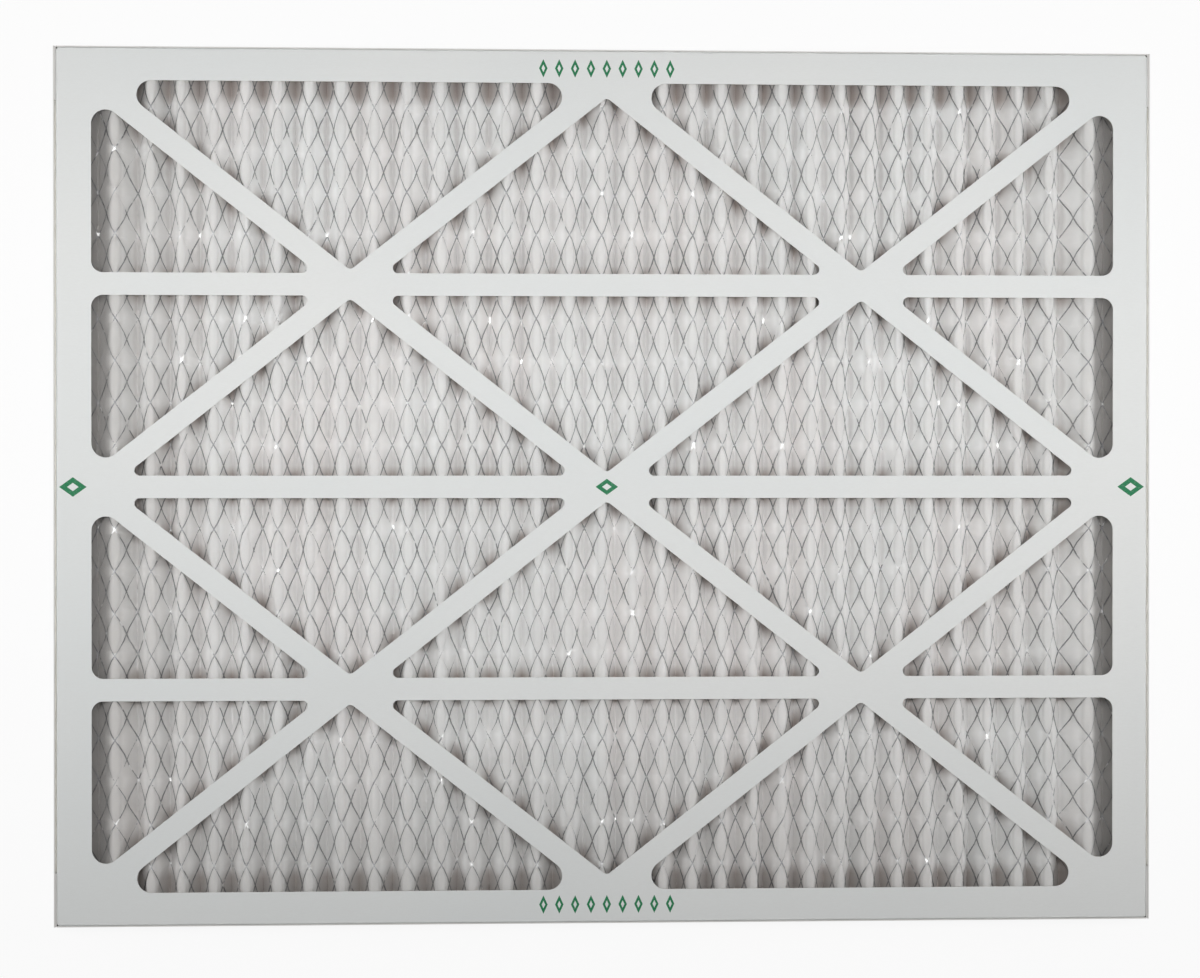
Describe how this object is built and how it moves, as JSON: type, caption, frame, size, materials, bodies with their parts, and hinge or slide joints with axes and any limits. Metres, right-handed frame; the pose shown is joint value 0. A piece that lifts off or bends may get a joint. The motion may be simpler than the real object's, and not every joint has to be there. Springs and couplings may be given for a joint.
{
  "type": "pleated panel air filter",
  "caption": "Thin rectangular air filter: pleated media with a steel support grid in a die-cut paperboard frame with crossed straps.",
  "frame": {"origin": "centre of the rear face, which the filter lies on", "axes": "+X along the width, across the pleats; +Y along the height, along the pleats; +Z through the depth to the front, air-leaving face that has the steel grid"},
  "size_m": [0.6224, 0.4952, 0.0222],
  "materials": {
    "frame_board": "white coated face, brown kraft on the inside and at cut edges",
    "filter_media": "off-white needled nonwoven",
    "support_grid": "galvanised expanded steel, dull grey",
    "glue": "dried adhesive, cream"
  },
  "bodies": {
    "root": {"front_frame": "frame_board", "rear_frame": "frame_board", "filter_media": "filter_media", "support_grid": "support_grid", "glue_bead_left": "glue", "glue_bead_right": "glue", "glue_bead_top": "glue", "glue_bead_bottom": "glue"}
  },
  "joints": []
}
